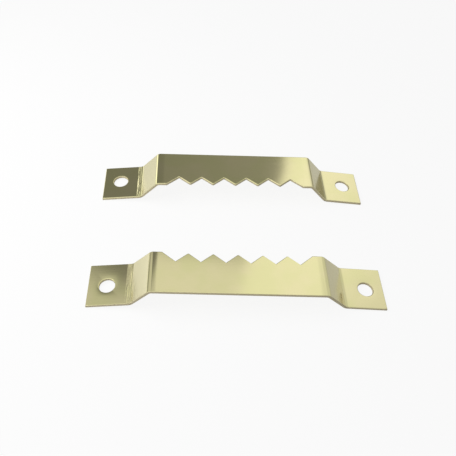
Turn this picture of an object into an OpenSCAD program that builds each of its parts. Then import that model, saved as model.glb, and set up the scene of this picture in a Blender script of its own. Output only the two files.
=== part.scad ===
// A pair of sawtooth picture hangers, lying tabs down with their toothed edges facing each other.
// Each one is a single strip of brass-coloured sheet, notched along one edge and bent four times.
// X runs along the strips, Y across them from the front hanger to the rear one, and Z is up.

/* [Strip] */
// Length of the raised bridge, between its two bends
bridge_length = 37.8; // [20:0.1:60]
// Length of each sloping leg, between its two bends
leg_length = 6.2; // [4:0.1:12]
// Length of each screw tab, from its end to its bend
tab_length = 9.3; // [7:0.1:16]
// Width of the strip
strip_width = 10.5; // [6:0.1:20]
// Thickness of the sheet
sheet_thickness = 0.6; // [0.3:0.05:0.8]
// Inside radius of the bends between the tabs and the legs
foot_radius = 1.4; // [0.3:0.05:1.6]
// Inside radius of the bends between the legs and the bridge
bridge_radius = 0.8; // [0.3:0.05:1.2]

/* [Teeth] */
// Number of V notches along the toothed edge of the bridge
notch_count = 6; // [2:1:10]
// Width of each notch at the strip's edge
notch_width = 5.9; // [3:0.1:8]
// Depth of each notch from the strip's edge
notch_depth = 2.45; // [1:0.05:4]
// How far the tooth tips stand back from the strip's edge
tip_drop = 0.3; // [0.1:0.05:0.6]
// Plain length left at each end of the toothed edge
shoulder_length = 2.35; // [1.5:0.05:5]

/* [Screw holes] */
// Diameter of the hole in each tab
hole_diameter = 3.5; // [2:0.1:5]
// Distance from a tab's end to the middle of its hole
hole_inset = 4.1; // [3:0.1:6]
// Distance from the strip's middle line to the middle of each hole, towards the plain edge
hole_offset = 0.3; // [0:0.05:0.5]

/* [Front hanger's bends] */
// Slope of its left leg, in degrees
front_left_leg_angle = 49.1; // [30:0.1:70]
// Slope of its right leg, in degrees
front_right_leg_angle = 41.7; // [30:0.1:70]
// Droop of its left tab, in degrees
front_left_tab_angle = 7.5; // [1:0.1:12]
// Droop of its right tab, in degrees
front_right_tab_angle = 2.9; // [1:0.1:12]

/* [Rear hanger's bends] */
// Slope of its left leg, in degrees
rear_left_leg_angle = 48.3; // [30:0.1:70]
// Slope of its right leg, in degrees
rear_right_leg_angle = 48.6; // [30:0.1:70]
// Droop of its left tab, in degrees
rear_left_tab_angle = 6.3; // [1:0.1:12]
// Droop of its right tab, in degrees
rear_right_tab_angle = 6.1; // [1:0.1:12]

/* [Pair] */
// Distance between the middle lines of the two hangers
pair_spacing = 31; // [22:0.5:60]
// Turn of the front hanger as it lies, in degrees
front_turn = 0; // [-2:0.1:2]
// Turn of the rear hanger as it lies, in degrees
rear_turn = 0.4; // [-2:0.1:2]

/* [Hidden] */

// How far a cut runs past the metal
cut_overrun = 1;
// How far a bend's arc dips under the flats beside it, so that they cross and don't only touch
arc_lap = 0.002;
// The angle that turns a hanger end for end
half_turn = 180;
// Facets of the round shapes when they are drawn
$fn = 96;

// The flats of the strip from its left end to its right end: tab, leg, bridge, leg, tab
flat_lengths = [tab_length, leg_length, bridge_length, leg_length, tab_length];
last_flat = len(flat_lengths) - 1;
last_corner = len(flat_lengths);
bridge_flat = last_flat / 2;
notch_pitch = (bridge_length - 2 * shoulder_length - notch_width) / (notch_count - 1);

// Unit vectors in the side view: along a flat that rises at an angle, and square to it
function along(angle) = [cos(angle), sin(angle)];
function upward(angle) = [-sin(angle), cos(angle)];

// How each flat rises from left to right, with the bridge level
function headings(left_leg, right_leg, left_tab, right_tab) =
    [left_tab, left_leg, 0, -right_leg, -right_tab];

// A corner of the top face, where flat i starts, measured from the left end
function corner(rise, i) =
    i == 0 ? [0, 0] : corner(rise, i - 1) + flat_lengths[i - 1] * along(rise[i - 1]);

// The way off both flats at a corner, long enough to leave each of them by one unit
function mitre(rise, i) =
    let (
        before = upward(rise[max(i - 1, 0)]),
        after = upward(rise[min(i, last_flat)])
    )
    (before + after) / (1 + before * after);

// A corner of the bottom face
function under_corner(rise, i) = corner(rise, i) - sheet_thickness * mitre(rise, i);

// Whether bend i opens upwards, as the ones at the tabs do, and its inside radius
function opens_up(rise, i) = rise[i] > rise[i - 1];
function inside_radius(rise, i) = opens_up(rise, i) ? foot_radius : bridge_radius;

// How much the line under the two ends rises while the bridge is level
function base_slope(rise) =
    let (base = under_corner(rise, last_corner) - under_corner(rise, 0))
    atan2(base[1], base[0]);

// Middle of the strip's overall length, from its left resting edge
function middle(rise) =
    let (
        base = along(base_slope(rise)),
        foot = under_corner(rise, 0)
    )
    (corner(rise, 0) + corner(rise, last_corner) - 2 * foot) * base / 2;

// What lies between the arc of bend i and the mitred corner that is a given reach from its centre
module outside_arc(rise, i, radius, reach) {
    inside = inside_radius(rise, i);
    to_centre = opens_up(rise, i) ? inside : -inside - sheet_thickness;
    to_metal = opens_up(rise, i) ? -reach : reach;
    translate(corner(rise, i) + to_centre * mitre(rise, i))
        difference() {
            polygon([
                [0, 0],
                to_metal * upward(min(rise[i - 1], rise[i])),
                to_metal * mitre(rise, i),
                to_metal * upward(max(rise[i - 1], rise[i]))
            ]);
            circle(r = radius + arc_lap);
        }
}

// Side view of the bent strip: mitred flats, filled inside each bend and rounded outside it
module strip_side(rise) {
    difference() {
        union() {
            polygon(concat(
                [for (i = [0 : last_corner]) under_corner(rise, i)],
                [for (i = [last_corner : -1 : 0]) corner(rise, i)]
            ));
            for (i = [1 : last_flat]) {
                inside = inside_radius(rise, i);
                outside_arc(rise, i, inside, inside + sheet_thickness / 2);
            }
        }
        for (i = [1 : last_flat]) {
            outside = inside_radius(rise, i) + sheet_thickness;
            outside_arc(rise, i, outside, outside + cut_overrun);
        }
    }
}

// One V notch in plan, from its root out past the strip's edge
module notch_plan() {
    half_outside = notch_width / 2 * (1 + cut_overrun / notch_depth);
    polygon([[0, -notch_depth], [half_outside, cut_overrun], [-half_outside, cut_overrun]]);
}

// The row of notches, cut square through the level bridge, and the trim that sets the tips back
module notch_row(rise) {
    start = corner(rise, bridge_flat);
    row_length = (notch_count - 1) * notch_pitch;
    translate([
        start[0] + shoulder_length + notch_width / 2,
        strip_width / 2,
        start[1] - sheet_thickness - cut_overrun
    ])
        linear_extrude(height = sheet_thickness + 2 * cut_overrun) {
            for (i = [0 : notch_count - 1])
                translate([i * notch_pitch, 0])
                    notch_plan();
            translate([0, -tip_drop])
                square([row_length, tip_drop + cut_overrun]);
        }
}

// One screw hole, square through a tab at a point of its top face
module screw_hole(point, slope) {
    translate([point[0], -hole_offset, point[1]])
        rotate([0, -slope, 0])
            cylinder(d = hole_diameter, h = 2 * (sheet_thickness + cut_overrun), center = true);
}

// One hanger, resting on the bottom edges of its two ends, with its toothed edge towards +Y
module hanger(rise) {
    foot = under_corner(rise, 0);
    right_end = corner(rise, last_corner) - hole_inset * along(rise[last_flat]);
    translate([-middle(rise), 0, 0])
        rotate([0, base_slope(rise), 0])
            translate([-foot[0], 0, -foot[1]])
                difference() {
                    rotate([90, 0, 0])
                        linear_extrude(height = strip_width, center = true)
                            strip_side(rise);
                    notch_row(rise);
                    screw_hole(hole_inset * along(rise[0]), rise[0]);
                    screw_hole(right_end, rise[last_flat]);
                }
}

// The hanger nearer the viewer, toothed edge away
module front_hanger() {
    color("palegoldenrod")
        translate([0, -pair_spacing / 2, 0])
            rotate([0, 0, front_turn])
                hanger(headings(
                    front_left_leg_angle,
                    front_right_leg_angle,
                    front_left_tab_angle,
                    front_right_tab_angle
                ));
}

// The hanger further away, turned half round, so that its left end is its own right one
module rear_hanger() {
    color("palegoldenrod")
        translate([0, pair_spacing / 2, 0])
            rotate([0, 0, half_turn + rear_turn])
                hanger(headings(
                    rear_right_leg_angle,
                    rear_left_leg_angle,
                    rear_right_tab_angle,
                    rear_left_tab_angle
                ));
}

front_hanger();
rear_hanger();
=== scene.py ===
"""Two sawtooth picture hangers on a white table: plated sheet strips, notched, punched and bent."""

import math

import bpy
from mathutils import Matrix, Vector


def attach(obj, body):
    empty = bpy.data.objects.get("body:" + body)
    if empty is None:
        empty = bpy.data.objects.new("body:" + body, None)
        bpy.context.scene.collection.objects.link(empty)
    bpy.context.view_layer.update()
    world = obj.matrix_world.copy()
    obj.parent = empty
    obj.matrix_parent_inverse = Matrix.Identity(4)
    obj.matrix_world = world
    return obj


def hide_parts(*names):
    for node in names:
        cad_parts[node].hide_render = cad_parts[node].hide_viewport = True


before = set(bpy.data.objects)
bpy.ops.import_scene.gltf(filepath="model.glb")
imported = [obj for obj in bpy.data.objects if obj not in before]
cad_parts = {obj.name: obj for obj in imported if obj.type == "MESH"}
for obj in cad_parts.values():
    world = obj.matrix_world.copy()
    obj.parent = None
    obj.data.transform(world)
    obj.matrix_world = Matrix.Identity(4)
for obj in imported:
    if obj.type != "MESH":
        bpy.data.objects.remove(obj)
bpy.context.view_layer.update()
scene = bpy.context.scene

# The two hangers
# Each is one strip of bright brass-plated steel sheet from the same press tool. A row of V notches is
# cut in one edge, a screw hole is punched in each end, and four bends raise the bridge off its tabs.

MM = 0.001
BRIDGE_LENGTH = 37.8 * MM
LEG_LENGTH = 6.2 * MM
TAB_LENGTH = 9.3 * MM
STRIP_WIDTH = 10.5 * MM
SHEET_THICKNESS = 0.6 * MM
FOOT_RADIUS = 1.4 * MM
BRIDGE_RADIUS = 0.8 * MM
NOTCH_COUNT = 6
NOTCH_WIDTH = 5.9 * MM
NOTCH_DEPTH = 2.45 * MM
TIP_DROP = 0.3 * MM
SHOULDER_LENGTH = 2.35 * MM
HOLE_DIAMETER = 3.5 * MM
HOLE_INSET = 4.1 * MM
HOLE_OFFSET = 0.3 * MM
PAIR_SPACING = 31.0 * MM
RIM_ROLL = 0.22 * MM

# Slopes in degrees, each hanger seen with its toothed edge away: legs, then how far the tabs still droop
FRONT_BENDS = {"Left leg": 49.1, "Right leg": 41.7, "Left tab": 7.5, "Right tab": 2.9}
REAR_BENDS = {"Left leg": 48.6, "Right leg": 48.3, "Left tab": 6.1, "Right tab": 6.3}
FRONT_TURN = 0.0
REAR_TURN = 180.4
HANDS = {"Left": -1.0, "Right": 1.0}

LENGTH = "NodeSocketFloat"
WHOLE = "NodeSocketInt"


def add(tree, kind, inputs, **settings):
    """Adds a node with its settings, and links or sets its inputs."""
    made = tree.nodes.new(kind)
    for name, value in settings.items():
        setattr(made, name, value)
    for key, value in inputs.items():
        if isinstance(value, bpy.types.NodeSocket):
            tree.links.new(value, made.inputs[key])
        else:
            made.inputs[key].default_value = value
    return made


def calc(tree, operation, *values):
    """One step of arithmetic."""
    return add(tree, "ShaderNodeMath", dict(enumerate(values)), operation=operation).outputs[0]


def vector_calc(tree, operation, *values):
    """One step of arithmetic on vectors."""
    return add(tree, "ShaderNodeVectorMath", dict(enumerate(values)), operation=operation).outputs[0]


def half(tree, value):
    """Half of a measure."""
    return calc(tree, "MULTIPLY", value, 0.5)


def opposite(tree, value):
    """The same measure the other way."""
    return calc(tree, "MULTIPLY", value, -1.0)


def is_count(tree, value, count):
    """1 where a whole number is the one asked for, and 0 elsewhere."""
    slack = 0.1
    return calc(tree, "COMPARE", value, count, slack)


def point(tree, x=0.0, y=0.0, z=0.0):
    """A point from its three measures."""
    return add(tree, "ShaderNodeCombineXYZ", {0: x, 1: y, 2: z}).outputs[0]


def axes(tree, vector):
    """The three measures of a point."""
    return add(tree, "ShaderNodeSeparateXYZ", {0: vector}).outputs


def ease(tree, value, start, end, low=0.0, high=1.0):
    """Goes smoothly from low to high while the value goes from start to end."""
    inputs = {"Value": value, "From Min": start, "From Max": end, "To Min": low, "To Max": high}
    return add(tree, "ShaderNodeMapRange", inputs, interpolation_type="SMOOTHSTEP").outputs[0]


def press_tree(name, sizes):
    """A Geometry Nodes tree with named sizes. Returns the tree, its inputs and its output node."""
    tree = bpy.data.node_groups.new(name, "GeometryNodeTree")
    tree.interface.new_socket("Sheet", in_out="INPUT", socket_type="NodeSocketGeometry")
    tree.interface.new_socket("Sheet", in_out="OUTPUT", socket_type="NodeSocketGeometry")
    for size, kind in sizes.items():
        tree.interface.new_socket(size, in_out="INPUT", socket_type=kind)
    given = tree.nodes.new("NodeGroupInput").outputs
    return tree, given, tree.nodes.new("NodeGroupOutput")


def note(tree, geometry, name, value, domain, data_type="FLOAT"):
    """Notes a value on the sheet under a name, for later steps and for the plating."""
    return add(tree, "GeometryNodeStoreNamedAttribute", {
        "Geometry": geometry, "Name": name, "Value": value,
    }, data_type=data_type, domain=domain).outputs[0]


def noted(tree, name, data_type="FLOAT"):
    """Reads back a value noted on the sheet."""
    return add(tree, "GeometryNodeInputNamedAttribute", {"Name": name}, data_type=data_type).outputs[0]


def join(tree, parts):
    """Lays parts together as one."""
    joined = tree.nodes.new("GeometryNodeJoinGeometry")
    for part in parts:
        tree.links.new(part, joined.inputs[0])
    return joined.outputs[0]


def weld(tree, parts):
    """Lays parts together and closes the seams between them."""
    seam = 0.002 * MM
    inputs = {"Geometry": join(tree, parts), "Distance": seam}
    return add(tree, "GeometryNodeMergeByDistance", inputs).outputs[0]


def grid(tree, columns, rows, length=1.0, width=1.0):
    """A flat grid of points, to be laid in place."""
    return add(tree, "GeometryNodeMeshGrid", {
        "Size X": length, "Size Y": width, "Vertices X": columns, "Vertices Y": rows,
    }).outputs["Mesh"]


def grid_places(tree, index, rows):
    """The column and the row of each point in a grid with this many rows."""
    column = calc(tree, "FLOOR", calc(tree, "DIVIDE", index, float(rows)))
    return column, calc(tree, "SUBTRACT", index, calc(tree, "MULTIPLY", column, float(rows)))


def points_on(tree, curve):
    """How many points a curve has."""
    counted = add(tree, "GeometryNodeAttributeDomainSize", {0: curve}, component="CURVE")
    return counted.outputs["Point Count"]


def place_on(tree, curve, number):
    """Where a curve's point of this number lies."""
    place = add(tree, "GeometryNodeInputPosition", {}).outputs[0]
    return add(tree, "GeometryNodeSampleIndex", {
        "Geometry": curve, "Value": place, "Index": number,
    }, data_type="FLOAT_VECTOR").outputs[0]


def make_punched_tab():
    """A flat tab with its hole: rings of faces that run from the round hole out to the tab's four sides."""
    sizes = {"Start": LENGTH, "Length": LENGTH, "Width": LENGTH, "Rows": WHOLE, "Side": LENGTH}
    sizes |= {"Hole diameter": LENGTH, "Hole inset": LENGTH, "Hole offset": LENGTH, "Rim dish": LENGTH}
    tree, given, result = press_tree("punched_tab", sizes)
    columns = 15
    rings = 9
    dish_steepness = 6.0

    # The tab's four sides, and a patch with a step for each point on them
    plan = grid(tree, columns, given["Rows"], given["Length"], given["Width"])
    faces_beside = add(tree, "GeometryNodeInputMeshEdgeNeighbors", {}).outputs[0]
    outline = add(tree, "GeometryNodeMeshToCurve", {
        "Mesh": plan, "Selection": is_count(tree, faces_beside, 1.0),
    }).outputs[0]
    count = points_on(tree, outline)
    patch = grid(tree, calc(tree, "ADD", count, 1.0), rings)
    index = add(tree, "GeometryNodeInputIndex", {}).outputs[0]
    step, ring = grid_places(tree, index, rings)

    # Each ring lies at its share of the way from the hole's rim to the sides
    share = calc(tree, "DIVIDE", ring, rings - 1.0)
    outer = place_on(tree, outline, calc(tree, "MODULO", step, count))
    half_length = half(tree, given["Length"])
    hole_x = calc(tree, "SUBTRACT", half_length, given["Hole inset"])
    hole = point(tree, hole_x, opposite(tree, given["Hole offset"]))
    outward = vector_calc(tree, "NORMALIZE", vector_calc(tree, "SUBTRACT", outer, hole))
    to_rim = add(tree, "ShaderNodeVectorMath", {
        0: outward, "Scale": half(tree, given["Hole diameter"]),
    }, operation="SCALE").outputs[0]
    inner = vector_calc(tree, "ADD", hole, to_rim)
    between = add(tree, "ShaderNodeMix", {0: share, 4: inner, 5: outer}, data_type="VECTOR").outputs[1]
    near_rim = calc(tree, "POWER", calc(tree, "SUBTRACT", 1.0, share), dish_steepness)
    dish = calc(tree, "MULTIPLY", given["Rim dish"], near_rim)
    x, y = axes(tree, between)[:2]
    along = calc(tree, "ADD", calc(tree, "ADD", x, half_length), given["Start"])
    laid = point(tree, calc(tree, "MULTIPLY", along, given["Side"]), y, opposite(tree, dish))
    patch = add(tree, "GeometryNodeSetPosition", {"Geometry": patch, "Position": laid}).outputs[0]
    patch = note(tree, patch, "hole_rim", is_count(tree, ring, 0.0), "POINT")
    tree.links.new(patch, result.inputs[0])
    return tree


def make_press_bend():
    """One bend: what lies past the bend line is wound round the tool's radius and swung up or down."""
    sizes = {"Bend line": LENGTH, "Angle": LENGTH, "Inside radius": LENGTH}
    sizes |= {"Thickness": LENGTH, "Side": LENGTH}
    tree, given, result = press_tree("press_bend", sizes)
    stretch_reach = 0.5 * MM
    flat_x = axes(tree, noted(tree, "sheet_place", "FLOAT_VECTOR"))[0]
    past = calc(tree, "SUBTRACT", calc(tree, "MULTIPLY", flat_x, given["Side"]), given["Bend line"])
    folds_down = calc(tree, "LESS_THAN", given["Angle"], 0.0)
    radius = calc(tree, "MULTIPLY_ADD", folds_down, given["Thickness"], given["Inside radius"])
    arc = calc(tree, "MULTIPLY", radius, calc(tree, "ABSOLUTE", given["Angle"]))
    wound = calc(tree, "MINIMUM", calc(tree, "MAXIMUM", past, 0.0), arc)
    swing = calc(tree, "MULTIPLY", given["Angle"], calc(tree, "DIVIDE", wound, arc))
    mirror = point(tree, given["Side"], 1.0, 1.0)
    place = add(tree, "GeometryNodeInputPosition", {}).outputs[0]
    outward = vector_calc(tree, "MULTIPLY", place, mirror)
    drawn_in = vector_calc(tree, "SUBTRACT", outward, point(tree, wound))
    centre_height = calc(tree, "MULTIPLY", radius, calc(tree, "SIGN", given["Angle"]))
    swung = add(tree, "ShaderNodeVectorRotate", {
        "Vector": drawn_in, "Center": point(tree, given["Bend line"], 0.0, centre_height),
        "Axis": (0.0, -1.0, 0.0), "Angle": swing,
    }).outputs[0]
    bent = add(tree, "GeometryNodeSetPosition", {
        "Geometry": given["Sheet"], "Position": vector_calc(tree, "MULTIPLY", swung, mirror),
    }).outputs[0]
    half_arc = half(tree, arc)
    off_middle = calc(tree, "ABSOLUTE", calc(tree, "SUBTRACT", past, half_arc))
    stretched = ease(tree, calc(tree, "SUBTRACT", off_middle, half_arc), stretch_reach, 0.0)
    most = calc(tree, "MAXIMUM", noted(tree, "bend_stretch"), stretched)
    bent = note(tree, bent, "bend_stretch", most, "POINT")
    tree.links.new(bent, result.inputs[0])
    return tree


def make_hanger_tree(plating):
    """The whole press work: toothed edge, flat sheet, punched tabs, thickness and four bends."""
    sizes = {"Strip width": LENGTH, "Thickness": LENGTH, "Foot radius": LENGTH, "Bridge radius": LENGTH}
    sizes |= {"Notch count": WHOLE, "Notch width": LENGTH, "Notch depth": LENGTH, "Notch pitch": LENGTH}
    sizes |= {"Tip drop": LENGTH, "Hole diameter": LENGTH, "Hole inset": LENGTH, "Hole offset": LENGTH}
    for hand in HANDS:
        sizes |= {f"{hand} leg line": LENGTH, f"{hand} leg angle": LENGTH, f"{hand} foot line": LENGTH}
        sizes |= {f"{hand} foot angle": LENGTH, f"{hand} tab line": LENGTH, f"{hand} tab flat": LENGTH}
    sizes |= {"Rock": LENGTH, "Shift": LENGTH, "Lift": LENGTH, "Turn": LENGTH, "Across": LENGTH}
    tree, given, result = press_tree("sawtooth_hanger", sizes)
    half_width = half(tree, given["Strip width"])
    half_notch = half(tree, given["Notch width"])
    index = add(tree, "GeometryNodeInputIndex", {}).outputs[0]
    place = add(tree, "GeometryNodeInputPosition", {}).outputs[0]

    # The toothed edge, as one V repeated along the bridge and run out to the plain edge at both ends
    points_in_v = 3
    tip_share = calc(tree, "DIVIDE", given["Tip drop"], given["Notch depth"])
    to_tip = calc(tree, "MULTIPLY", half_notch, calc(tree, "SUBTRACT", 1.0, tip_share))
    tip_level = calc(tree, "SUBTRACT", half_width, given["Tip drop"])
    notch = add(tree, "GeometryNodeMeshLine", {
        "Count": points_in_v, "Start Location": point(tree, opposite(tree, to_tip), tip_level),
        "Offset": point(tree, to_tip),
    }).outputs[0]
    root_drop = calc(tree, "SUBTRACT", given["Tip drop"], given["Notch depth"])
    notch = add(tree, "GeometryNodeSetPosition", {
        "Geometry": notch, "Selection": is_count(tree, index, 1.0),
        "Offset": point(tree, 0.0, root_drop),
    }).outputs[0]
    last_notch = calc(tree, "SUBTRACT", given["Notch count"], 1.0)
    half_row = half(tree, calc(tree, "MULTIPLY", last_notch, given["Notch pitch"]))
    roots = add(tree, "GeometryNodeMeshLine", {
        "Count": given["Notch count"], "Start Location": point(tree, opposite(tree, half_row)),
        "Offset": point(tree, given["Notch pitch"]),
    }).outputs[0]
    row = add(tree, "GeometryNodeInstanceOnPoints", {"Points": roots, "Instance": notch}).outputs[0]
    row = add(tree, "GeometryNodeRealizeInstances", {"Geometry": row}).outputs[0]
    row_end = calc(tree, "ADD", half_row, half_notch)
    point_count = calc(tree, "MULTIPLY", given["Notch count"], float(points_in_v))
    last_point = calc(tree, "SUBTRACT", point_count, 1.0)
    for spot, reach in ((0.0, opposite(tree, row_end)), (last_point, row_end)):
        row = add(tree, "GeometryNodeSetPosition", {
            "Geometry": row, "Selection": is_count(tree, index, spot),
            "Position": point(tree, reach, half_width),
        }).outputs[0]

    # Stations along the plain part of that edge, close together where a bend will be
    arc_points = 5
    cuts_between = 3
    outer_radius = calc(tree, "ADD", given["Bridge radius"], given["Thickness"])
    stations = [row]
    for hand, side in HANDS.items():
        leg_arc = calc(tree, "MULTIPLY", outer_radius, given[f"{hand} leg angle"])
        leg_end = calc(tree, "ADD", given[f"{hand} leg line"], leg_arc)
        for start, end in ((given[f"{hand} leg line"], leg_end),
                           (given[f"{hand} foot line"], given[f"{hand} tab line"])):
            line = add(tree, "GeometryNodeMeshLine", {
                "Count": arc_points,
                "Start Location": point(tree, calc(tree, "MULTIPLY", start, side), half_width),
                "Offset": point(tree, calc(tree, "MULTIPLY", end, side), half_width),
            }, mode="END_POINTS").outputs[0]
            stations.append(line)
    dots = add(tree, "GeometryNodeMeshToPoints", {"Mesh": join(tree, stations)}).outputs[0]
    edge = add(tree, "GeometryNodePointsToCurves", {
        "Points": dots, "Weight": axes(tree, place)[0],
    }).outputs[0]
    edge = add(tree, "GeometryNodeSubdivideCurve", {"Curve": edge, "Cuts": cuts_between}).outputs[0]

    # The sheet between that edge and the plain edge, and a punched tab at each end of it
    rows = 25
    rim_dish = 0.02 * MM
    column, row_number = grid_places(tree, index, rows)
    row_share = calc(tree, "DIVIDE", row_number, rows - 1.0)
    edge_x, edge_y = axes(tree, place_on(tree, edge, column))[:2]
    depth = calc(tree, "ADD", edge_y, half_width)
    across = calc(tree, "SUBTRACT", calc(tree, "MULTIPLY", depth, row_share), half_width)
    sheet = add(tree, "GeometryNodeSetPosition", {
        "Geometry": grid(tree, points_on(tree, edge), rows), "Position": point(tree, edge_x, across),
    }).outputs[0]
    flats = [sheet]
    for hand, side in HANDS.items():
        tab = add(tree, "GeometryNodeGroup", {
            "Start": given[f"{hand} tab line"], "Length": given[f"{hand} tab flat"],
            "Width": given["Strip width"], "Rows": rows, "Side": side, "Rim dish": rim_dish,
            "Hole diameter": given["Hole diameter"], "Hole inset": given["Hole inset"],
            "Hole offset": given["Hole offset"],
        }, node_tree=punched_tab).outputs[0]
        flats.append(tab)
    blank = weld(tree, flats)
    facing = axes(tree, add(tree, "GeometryNodeInputNormal", {}).outputs[0])[2]
    blank = add(tree, "GeometryNodeFlipFaces", {
        "Mesh": blank, "Selection": calc(tree, "LESS_THAN", facing, 0.0),
    }).outputs[0]

    # Thickness: a turned-over copy is the underside, and the sheet is drawn up from it to the top face
    sunk = add(tree, "GeometryNodeSetPosition", {
        "Geometry": blank, "Offset": point(tree, 0.0, 0.0, opposite(tree, given["Thickness"])),
    }).outputs[0]
    raised = add(tree, "GeometryNodeExtrudeMesh", {
        "Mesh": sunk, "Offset": (0.0, 0.0, 1.0), "Offset Scale": given["Thickness"], "Individual": False,
    }).outputs
    walled = note(tree, raised["Mesh"], "cut_wall", raised["Side"], "FACE")
    underside = add(tree, "GeometryNodeFlipFaces", {"Mesh": sunk}).outputs[0]
    solid = weld(tree, [walled, underside])

    # Rims: rolled over most on the upper side and round the holes, and little on the side of the break
    sharp_fold = math.radians(50.0)
    level_within = 0.1 * MM
    under_roll = 0.2
    upper_roll = 0.65
    hole_roll = 0.1
    angle = add(tree, "GeometryNodeInputMeshEdgeAngle", {}).outputs[0]
    folded = calc(tree, "GREATER_THAN", angle, sharp_fold)
    ends = add(tree, "GeometryNodeInputMeshEdgeVertices", {}).outputs
    end_height = axes(tree, ends["Position 1"])[2]
    other_height = axes(tree, ends["Position 2"])[2]
    level = calc(tree, "COMPARE", end_height, other_height, level_within)
    rim = calc(tree, "MULTIPLY", folded, level)
    mid_sheet = calc(tree, "MULTIPLY", given["Thickness"], -0.5)
    upper_side = calc(tree, "GREATER_THAN", end_height, mid_sheet)
    more_roll = calc(tree, "MULTIPLY_ADD", noted(tree, "hole_rim"), hole_roll, upper_roll)
    more_roll = calc(tree, "MULTIPLY", upper_side, more_roll)
    roll = calc(tree, "MULTIPLY", rim, calc(tree, "ADD", more_roll, under_roll))
    solid = note(tree, solid, "bevel_weight_edge", roll, "EDGE")
    # The rims also get a painted shade: the plating tones them darker, which dims what they mirror
    solid = note(tree, solid, "rim_shade", rim, "POINT")
    solid = add(tree, "GeometryNodeSetShadeSmooth", {"Geometry": solid, "Shade Smooth": True}).outputs[0]
    upright_corner = calc(tree, "MULTIPLY", folded, calc(tree, "SUBTRACT", 1.0, level))
    solid = add(tree, "GeometryNodeSetShadeSmooth", {
        "Geometry": solid, "Selection": upright_corner, "Shade Smooth": False,
    }, domain="EDGE").outputs[0]

    # Each point's place on the flat sheet, for the bends and the plating
    solid = note(tree, solid, "sheet_place", place, "POINT", "FLOAT_VECTOR")

    # A faint waviness of the rolled sheet, which dies out towards the ends of the tabs
    waviness = 0.009 * MM
    ripple_scale = 90.0
    ripple_top = 0.8
    calm_from = 26.0 * MM
    calm_end = 30.0 * MM
    ripple = add(tree, "ShaderNodeTexNoise", {
        "Vector": vector_calc(tree, "MULTIPLY", place, (1.0, 1.0, 0.0)),
        "Scale": ripple_scale, "Detail": 1.0,
    }).outputs[0]
    off_end = ease(tree, calc(tree, "ABSOLUTE", axes(tree, place)[0]), calm_end, calm_from)
    swell = calc(tree, "MULTIPLY", off_end, 2.0 * waviness)
    ripple = calc(tree, "MULTIPLY", calc(tree, "SUBTRACT", ripple, ripple_top), swell)
    solid = add(tree, "GeometryNodeSetPosition", {
        "Geometry": solid, "Offset": point(tree, 0.0, 0.0, ripple),
    }).outputs[0]

    # The bends, tabs first, and then the finished hanger laid on the table
    for fold, radius, way in (("foot", "Foot radius", 1.0), ("leg", "Bridge radius", -1.0)):
        for hand, side in HANDS.items():
            solid = add(tree, "GeometryNodeGroup", {
                "Sheet": solid, "Bend line": given[f"{hand} {fold} line"],
                "Angle": calc(tree, "MULTIPLY", given[f"{hand} {fold} angle"], way),
                "Inside radius": given[radius], "Thickness": given["Thickness"], "Side": side,
            }, node_tree=press_bend).outputs[0]
    solid = add(tree, "GeometryNodeTransform", {
        "Geometry": solid, "Translation": point(tree, given["Shift"], 0.0, given["Lift"]),
        "Rotation": point(tree, 0.0, given["Rock"], 0.0),
    }).outputs[0]
    solid = add(tree, "GeometryNodeTransform", {
        "Geometry": solid, "Translation": point(tree, 0.0, given["Across"], 0.0),
        "Rotation": point(tree, 0.0, 0.0, given["Turn"]),
    }).outputs[0]
    solid = add(tree, "GeometryNodeRealizeInstances", {"Geometry": solid}).outputs[0]
    solid = add(tree, "GeometryNodeSetMaterial", {"Geometry": solid, "Material": plating}).outputs[0]
    tree.links.new(solid, result.inputs[0])
    return tree


def band(tree, value, start, full, fading, end):
    """1 while the value is between full and fading, easing to nothing at start and at end."""
    return calc(tree, "MULTIPLY", ease(tree, value, start, full), ease(tree, value, end, fading))


def blend(tree, share, first, second):
    """Mixes two colours: all of the second where the share is 1."""
    return add(tree, "ShaderNodeMix", {0: share, 6: first, 7: second}, data_type="RGBA").outputs[2]


def streaks(tree, place, closeness, detail):
    """Uneven lines, as close together along each axis as the numbers say."""
    spread = add(tree, "ShaderNodeMapping", {"Vector": place, "Scale": closeness}).outputs[0]
    return add(tree, "ShaderNodeTexNoise", {"Vector": spread, "Scale": 1.0, "Detail": detail}).outputs[0]


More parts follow.
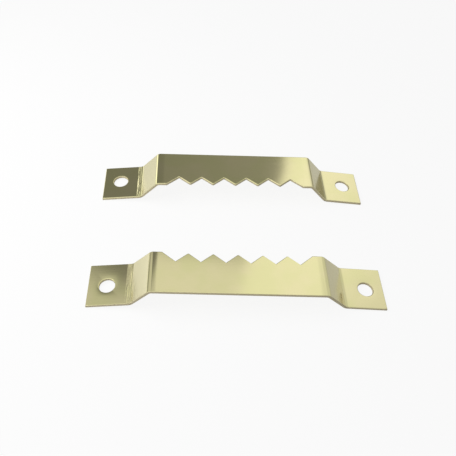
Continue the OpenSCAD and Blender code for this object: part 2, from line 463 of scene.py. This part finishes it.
def make_brass_plating():
    """Bright plated brass: rolled grain, cloudy tone, rubbed legs, scuffed folds, painted shade on the rims
    and dull sheared walls.
    """
    plating = bpy.data.materials.new("bright_brass_plating")
    plating.use_nodes = True
    tree = plating.node_tree
    shader = tree.nodes["Principled BSDF"].inputs
    brass = (0.84, 0.775, 0.44, 1.0)
    green_brass = (0.80, 0.765, 0.40, 1.0)
    rubbed_brass = (0.82, 0.765, 0.49, 1.0)
    rim_shade_brass = (0.74, 0.68, 0.42, 1.0)
    sheared_brass = (0.68, 0.6, 0.38, 1.0)
    sheared_shine = 0.08
    half_bridge = BRIDGE_LENGTH / 2
    leg_end = half_bridge + LEG_LENGTH
    where = add(tree, "ShaderNodeTexCoord", {}).outputs["Object"]
    flat = add(tree, "ShaderNodeAttribute", {}, attribute_name="sheet_place").outputs["Vector"]
    along = calc(tree, "ABSOLUTE", axes(tree, flat)[0])
    wall, stretch, rim = [
        add(tree, "ShaderNodeAttribute", {}, attribute_name=name).outputs["Fac"]
        for name in ("cut_wall", "bend_stretch", "rim_shade")
    ]

    # Rolled grain in long faint lines along the strip, and a cloudy tone
    grain_closeness = (120.0, 3600.0, 1.0)
    cloud_scale = 140.0
    cloud_span = (0.35, 0.65)
    grain = streaks(tree, flat, grain_closeness, 3.0)
    clouds = add(tree, "ShaderNodeTexNoise", {
        "Vector": where, "Scale": cloud_scale, "Detail": 2.0,
    }).outputs[0]
    tone = blend(tree, ease(tree, clouds, *cloud_span), brass, green_brass)

    # Legs rubbed pale by the bending tool, rims toned darker as painted shade, and sheared walls that
    # scatter the light
    rub_start = 0.4 * MM
    rub_full = 0.8 * MM
    rim_shade_span = (0.15, 0.4)
    rubbed = band(tree, along, half_bridge + rub_start, half_bridge + rub_full,
                  leg_end - rub_full, leg_end - rub_start)
    tone = blend(tree, rubbed, tone, rubbed_brass)
    # Painted shade: the rims are toned darker, which dims the light they mirror
    tone = blend(tree, ease(tree, rim, *rim_shade_span), tone, rim_shade_brass)
    tree.links.new(blend(tree, wall, tone, sheared_brass), shader["Base Color"])
    tree.links.new(calc(tree, "MULTIPLY_ADD", wall, sheared_shine - 1.0, 1.0), shader["Metallic"])

    # Tabs on the left of the pair: scuffed beside the fold, in fine ridges that run along it
    ridge_closeness = (3000.0, 180.0, 1.0)
    on_left = ease(tree, axes(tree, where)[0], 5.0 * MM, -5.0 * MM)
    beside_fold = band(tree, along, leg_end - 0.35 * MM, leg_end + 0.05 * MM,
                       leg_end + 0.5 * MM, leg_end + 0.95 * MM)
    scuffed = calc(tree, "MULTIPLY", beside_fold, on_left)
    ridges = calc(tree, "MULTIPLY", streaks(tree, flat, ridge_closeness, 2.0), scuffed)

    # Fine relief: the grain, the scuffs, and the bridge's ends, which start to fall just before the bend
    grain_depth = 0.02 * MM
    scuff_depth = 0.3 * MM
    fall_depth = 0.13 * MM
    fall_length = 1.75 * MM
    fall = ease(tree, along, half_bridge - fall_length, half_bridge, 1.0, 0.0)
    relief = add(tree, "ShaderNodeBump", {
        "Height": grain, "Strength": 0.05, "Distance": grain_depth,
    }).outputs[0]
    for height, depth in ((ridges, scuff_depth), (fall, fall_depth)):
        relief = add(tree, "ShaderNodeBump", {
            "Height": height, "Strength": 1.0, "Distance": depth, "Normal": relief,
        }).outputs[0]
    tree.links.new(relief, shader["Normal"])

    # How much duller or brighter each kind of surface is than the plain sheet
    plain_roughness = 0.06
    grain_roughness = 0.05
    roughness = calc(tree, "MULTIPLY_ADD", grain, grain_roughness, plain_roughness)
    for surface, extra in ((rubbed, 0.06), (stretch, -0.03), (wall, 0.22), (scuffed, 0.2)):
        roughness = calc(tree, "MULTIPLY_ADD", surface, extra, roughness)
    tree.links.new(roughness, shader["Roughness"])
    return plating


def bend_lines(leg_angle, tab_angle):
    """Where one end's bends fall on the flat strip, along its top face from the bridge's middle."""
    foot_angle = leg_angle - tab_angle
    outer_radius = BRIDGE_RADIUS + SHEET_THICKNESS
    leg_setback = outer_radius * math.tan(leg_angle / 2)
    foot_setback = FOOT_RADIUS * math.tan(foot_angle / 2)
    leg_line = BRIDGE_LENGTH / 2 - leg_setback
    foot_line = leg_line + outer_radius * leg_angle + LEG_LENGTH - leg_setback - foot_setback
    tab_line = foot_line + FOOT_RADIUS * foot_angle
    return {
        "leg line": leg_line, "leg angle": leg_angle, "foot line": foot_line, "foot angle": foot_angle,
        "tab line": tab_line, "tab flat": TAB_LENGTH - foot_setback,
    }


def resting_place(bends):
    """How a bent hanger rocks, shifts and lifts to lie on the lower edges of its two ends."""
    ends = []
    for hand, side in HANDS.items():
        leg = bends[f"{hand} leg"]
        tab = bends[f"{hand} tab"]
        reach = BRIDGE_LENGTH / 2 + LEG_LENGTH * math.cos(leg) + TAB_LENGTH * math.cos(tab)
        top = Vector((side * reach, -LEG_LENGTH * math.sin(leg) - TAB_LENGTH * math.sin(tab)))
        ends.append((top, top - SHEET_THICKNESS * Vector((side * math.sin(tab), math.cos(tab)))))
    base = ends[1][1] - ends[0][1]
    rock = math.atan2(base.y, base.x)

    def levelled(spot):
        return Vector((spot.x * math.cos(rock) + spot.y * math.sin(rock),
                       spot.y * math.cos(rock) - spot.x * math.sin(rock)))

    middle = (levelled(ends[0][0]).x + levelled(ends[1][0]).x) / 2
    return {"Rock": rock, "Shift": -middle, "Lift": -levelled(ends[0][1]).y}


def press_hanger(name, cad_node, bends, turn, across):
    """Makes one hanger's mesh, rounds its rims and sets it on its body in place of the plain solid."""
    bends = {key: math.radians(angle) for key, angle in bends.items()}
    sizes = {
        "Strip width": STRIP_WIDTH, "Thickness": SHEET_THICKNESS,
        "Foot radius": FOOT_RADIUS, "Bridge radius": BRIDGE_RADIUS,
        "Notch count": NOTCH_COUNT, "Notch width": NOTCH_WIDTH,
        "Notch depth": NOTCH_DEPTH, "Tip drop": TIP_DROP, "Hole diameter": HOLE_DIAMETER,
        "Hole inset": HOLE_INSET, "Hole offset": HOLE_OFFSET, "Turn": math.radians(turn), "Across": across,
        "Notch pitch": (BRIDGE_LENGTH - 2 * SHOULDER_LENGTH - NOTCH_WIDTH) / (NOTCH_COUNT - 1),
    }
    for hand in HANDS:
        for line, value in bend_lines(bends[f"{hand} leg"], bends[f"{hand} tab"]).items():
            sizes[f"{hand} {line}"] = value
    sizes |= resting_place(bends)
    plate = bpy.data.objects.new(name, bpy.data.meshes.new(name))
    scene.collection.objects.link(plate)
    press = plate.modifiers.new("press_work", "NODES")
    press.node_group = hanger_tree
    sockets = {item.name: item.identifier for item in hanger_tree.interface.items_tree
               if item.in_out == "INPUT"}
    for size, value in sizes.items():
        press[sockets[size]] = value
    rims = plate.modifiers.new("rounded_rims", "BEVEL")
    rims.limit_method = "WEIGHT"
    rims.width = RIM_ROLL
    rims.segments = 3
    rims.harden_normals = True
    rims.use_clamp_overlap = False
    finished = plate.evaluated_get(bpy.context.evaluated_depsgraph_get())
    plate.data = bpy.data.meshes.new_from_object(finished)
    plate.modifiers.clear()
    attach(plate, cad_node)
    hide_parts(cad_node)


punched_tab = make_punched_tab()
press_bend = make_press_bend()
hanger_tree = make_hanger_tree(make_brass_plating())
press_hanger("front_plate", "front_hanger", FRONT_BENDS, FRONT_TURN, -PAIR_SPACING / 2)
press_hanger("rear_plate", "rear_hanger", REAR_BENDS, REAR_TURN, PAIR_SPACING / 2)

# White table
# A smooth white board under the hangers. It stays white to the camera and keeps a faint soft shadow,
# which the metal mirrors more strongly than the camera sees it.

TABLE_HALF = 1.5
TABLE_WHITE = (0.93, 0.93, 0.93, 1.0)
PURE_WHITE = (1.0, 1.0, 1.0, 1.0)
SHADOW_SEEN = 0.1
SHADOW_MIRRORED = 0.9


def seen_and_mirrored(tree):
    """1 for what the camera sees straight, and 1 for what it sees mirrored in metal or through glass."""
    rays = add(tree, "ShaderNodeLightPath", {}).outputs
    return rays["Is Camera Ray"], calc(tree, "MAXIMUM", rays["Is Glossy Ray"], rays["Is Transmission Ray"])


table_mesh = bpy.data.meshes.new("table_top")
corners = [(-TABLE_HALF, -TABLE_HALF, 0.0), (TABLE_HALF, -TABLE_HALF, 0.0),
           (TABLE_HALF, TABLE_HALF, 0.0), (-TABLE_HALF, TABLE_HALF, 0.0)]
table_mesh.from_pydata(corners, [], [(0, 1, 2, 3)])
table = bpy.data.objects.new("table_top", table_mesh)
scene.collection.objects.link(table)
board = bpy.data.materials.new("white_board")
board.use_nodes = True
tree = board.node_tree
tree.nodes.clear()
seen, mirrored = seen_and_mirrored(tree)
lit = add(tree, "ShaderNodeBsdfDiffuse", {"Color": TABLE_WHITE}).outputs[0]
white = add(tree, "ShaderNodeEmission", {"Color": PURE_WHITE, "Strength": 1.0}).outputs[0]
share = calc(tree, "MAXIMUM", calc(tree, "MULTIPLY", seen, 1.0 - SHADOW_SEEN),
             calc(tree, "MULTIPLY", mirrored, 1.0 - SHADOW_MIRRORED))
mixed = add(tree, "ShaderNodeMixShader", {0: share, 1: lit, 2: white}).outputs[0]
add(tree, "ShaderNodeOutputMaterial", {"Surface": mixed})
table_mesh.materials.append(board)

# Studio light
# A white studio that the bright metal mirrors: a dark slanted flag high at the back gives its olive side,
# with dim patches low down, a bright window low on the left and a pale panel further round to the left.
# A small soft box lights the table and the dull sheared walls, and the metal doesn't mirror it.

# Bearings are degrees to the right of straight back and heights are degrees up. A fade gives two of
# these and the levels there. A patch gives where it starts, is full, begins to end and has ended.
BACK_WALL_STEP = (14.4, 12.0, 1.04, 0.86)
RIGHT_WALL_FADE = (24.0, 52.0, 1.0, 0.66)
LEFT_WALL_FADE = (-8.0, -24.0, 1.0, 0.74)
UPPER_WALL_FADE = (46.0, 54.0, 1.0, 0.94)
LOW_RIGHT_PATCH = {"bearings": (24.0, 36.0, 48.0, 52.0), "heights": (22.0, 12.0), "level": 0.34}
LOW_LEFT_PATCH = {"bearings": (-66.0, -62.0, -50.0, -47.0), "heights": (22.0, 17.0), "level": 0.42}
LOW_BACK_PATCH = {"bearings": (-40.0, -34.0, 19.0, 25.0), "heights": (37.0, 31.0), "level": 0.2}
BEHIND_FADE = (72.0, 100.0)
CEILING_FADE = (62.0, 72.0)
REST_LEVEL = 0.55
REST_UPWARD = 0.35
REST_TO_RIGHT = -0.28
FLAG_LEFT_SLANT = -1.25
FLAG_LEFT_EDGE = (90.0, 81.5)
FLAG_RIGHT_EDGE = (13.6, 12.4)
FLAG_FOOT_SLANT = -0.35
FLAG_FOOT_EDGE = (33.0, 37.0)
FLAG_TOP_EDGE = (53.5, 50.5)
FLAG_LEVEL = (-20.0, 12.0, 0.2, 0.275)
WINDOW_BEARING = -44.0
WINDOW_HEIGHT = 9.0
WINDOW_RADIUS = 10.0
WINDOW_EDGE = (1.0, 0.4)
WINDOW_LEVEL = 0.9
PANEL_BEARINGS = (-130.0, -120.0, -88.0, -78.0)
PANEL_HEIGHTS = (12.0, 22.0, 54.0, 64.0)
PANEL_LEVEL = 0.35
ROOM_ON_TABLE = 0.4
SOFT_BOX_SIZE = 0.12
SOFT_BOX_POWER = 0.14
SOFT_BOX_PLACE = (-0.1, 0.012, 0.1)


def mix_levels(tree, share, first, second):
    """Mixes two light levels: all of the second where the share is 1."""
    return add(tree, "ShaderNodeMix", {0: share, 2: first, 3: second}).outputs[0]


world = bpy.data.worlds.new("white_studio")
scene.world = world
world.use_nodes = True
tree = world.node_tree
background = tree.nodes["Background"].inputs
background["Color"].default_value = PURE_WHITE
x, y, z = axes(tree, add(tree, "ShaderNodeTexCoord", {}).outputs["Generated"])
bearing = calc(tree, "DEGREES", calc(tree, "ARCTAN2", x, y))
height = calc(tree, "DEGREES", calc(tree, "ARCSINE", z))

# Walls, dimmer to both sides and near the ceiling, and the patches low on them
room = ease(tree, bearing, *BACK_WALL_STEP)
for measure, fade in ((bearing, RIGHT_WALL_FADE), (bearing, LEFT_WALL_FADE), (height, UPPER_WALL_FADE)):
    room = calc(tree, "MULTIPLY", room, ease(tree, measure, *fade))
for patch in (LOW_RIGHT_PATCH, LOW_LEFT_PATCH, LOW_BACK_PATCH):
    covered = calc(tree, "MULTIPLY", band(tree, bearing, *patch["bearings"]),
                   ease(tree, height, *patch["heights"]))
    room = mix_levels(tree, covered, room, patch["level"])

# Ceiling and the side of the camera, lighter upwards and to the left
behind = ease(tree, calc(tree, "ABSOLUTE", bearing), *BEHIND_FADE)
above = ease(tree, height, *CEILING_FADE)
rest = calc(tree, "MULTIPLY_ADD", z, REST_UPWARD, REST_LEVEL)
rest = calc(tree, "MULTIPLY_ADD", x, REST_TO_RIGHT, rest)
room = mix_levels(tree, calc(tree, "MAXIMUM", behind, above), room, rest)

# Flag, slanted at its left edge and its foot
left_measure = calc(tree, "MULTIPLY_ADD", bearing, FLAG_LEFT_SLANT, height)
foot_measure = calc(tree, "MULTIPLY_ADD", bearing, FLAG_FOOT_SLANT, height)
flag_sides = calc(tree, "MULTIPLY", ease(tree, left_measure, *FLAG_LEFT_EDGE),
                  ease(tree, bearing, *FLAG_RIGHT_EDGE))
flag_ends = calc(tree, "MULTIPLY", ease(tree, foot_measure, *FLAG_FOOT_EDGE),
                 ease(tree, height, *FLAG_TOP_EDGE))
flag = calc(tree, "MULTIPLY", flag_sides, flag_ends)
studio = mix_levels(tree, flag, room, ease(tree, bearing, *FLAG_LEVEL))

# Window, round, and the panel, square
window_across = calc(tree, "MULTIPLY_ADD", bearing, 1.0 / WINDOW_RADIUS, -WINDOW_BEARING / WINDOW_RADIUS)
window_up = calc(tree, "MULTIPLY_ADD", height, 1.0 / WINDOW_RADIUS, -WINDOW_HEIGHT / WINDOW_RADIUS)
off_window = calc(tree, "MULTIPLY_ADD", window_up, window_up,
                  calc(tree, "MULTIPLY", window_across, window_across))
studio = calc(tree, "ADD", studio, ease(tree, off_window, *WINDOW_EDGE, 0.0, WINDOW_LEVEL))
panel = calc(tree, "MULTIPLY", band(tree, bearing, *PANEL_BEARINGS), band(tree, height, *PANEL_HEIGHTS))
studio = calc(tree, "MULTIPLY_ADD", panel, PANEL_LEVEL, studio)

# Full strength to the metal, less on the table, and plain white to the camera
seen, mirrored = seen_and_mirrored(tree)
strength = calc(tree, "MULTIPLY_ADD", mirrored, 1.0 - ROOM_ON_TABLE, ROOM_ON_TABLE)
studio = mix_levels(tree, seen, calc(tree, "MULTIPLY", studio, strength), 1.0)
tree.links.new(studio, background["Strength"])

soft_box = bpy.data.objects.new("soft_box", bpy.data.lights.new("soft_box", "AREA"))
soft_box.data.shape = "SQUARE"
soft_box.data.size = SOFT_BOX_SIZE
soft_box.data.energy = SOFT_BOX_POWER
soft_box.location = SOFT_BOX_PLACE
soft_box.rotation_euler = (-Vector(SOFT_BOX_PLACE)).to_track_quat("-Z", "Y").to_euler()
soft_box.visible_glossy = False
scene.collection.objects.link(soft_box)

# Camera
# Stands in front of the pair and a little to the left, looks steeply down and leans slightly.

CAMERA_PLACE = Vector((-11.758, -86.597, 105.189)) * MM
LOOK_DOWN = math.radians(49.731)
LOOK_RIGHT = math.radians(6.505)
LEAN = math.radians(6.166)
SENSOR_WIDTH = 36.0
LENS = 45.401
NEAREST_SEEN = 0.005

forward = Vector((math.sin(LOOK_RIGHT) * math.cos(LOOK_DOWN), math.cos(LOOK_RIGHT) * math.cos(LOOK_DOWN),
                  -math.sin(LOOK_DOWN)))
level_right = forward.cross(Vector((0.0, 0.0, 1.0))).normalized()
level_up = level_right.cross(forward)
camera_right = math.cos(LEAN) * level_right + math.sin(LEAN) * level_up
camera_up = math.cos(LEAN) * level_up - math.sin(LEAN) * level_right
camera = bpy.data.objects.new("camera", bpy.data.cameras.new("camera"))
camera.data.sensor_width = SENSOR_WIDTH
camera.data.lens = LENS
camera.data.clip_start = NEAREST_SEEN
scene.collection.objects.link(camera)
turn = Matrix((camera_right, camera_up, -forward)).transposed()
camera.matrix_world = Matrix.Translation(CAMERA_PLACE) @ turn.to_4x4()
scene.camera = camera
scene.view_settings.view_transform = "Standard"
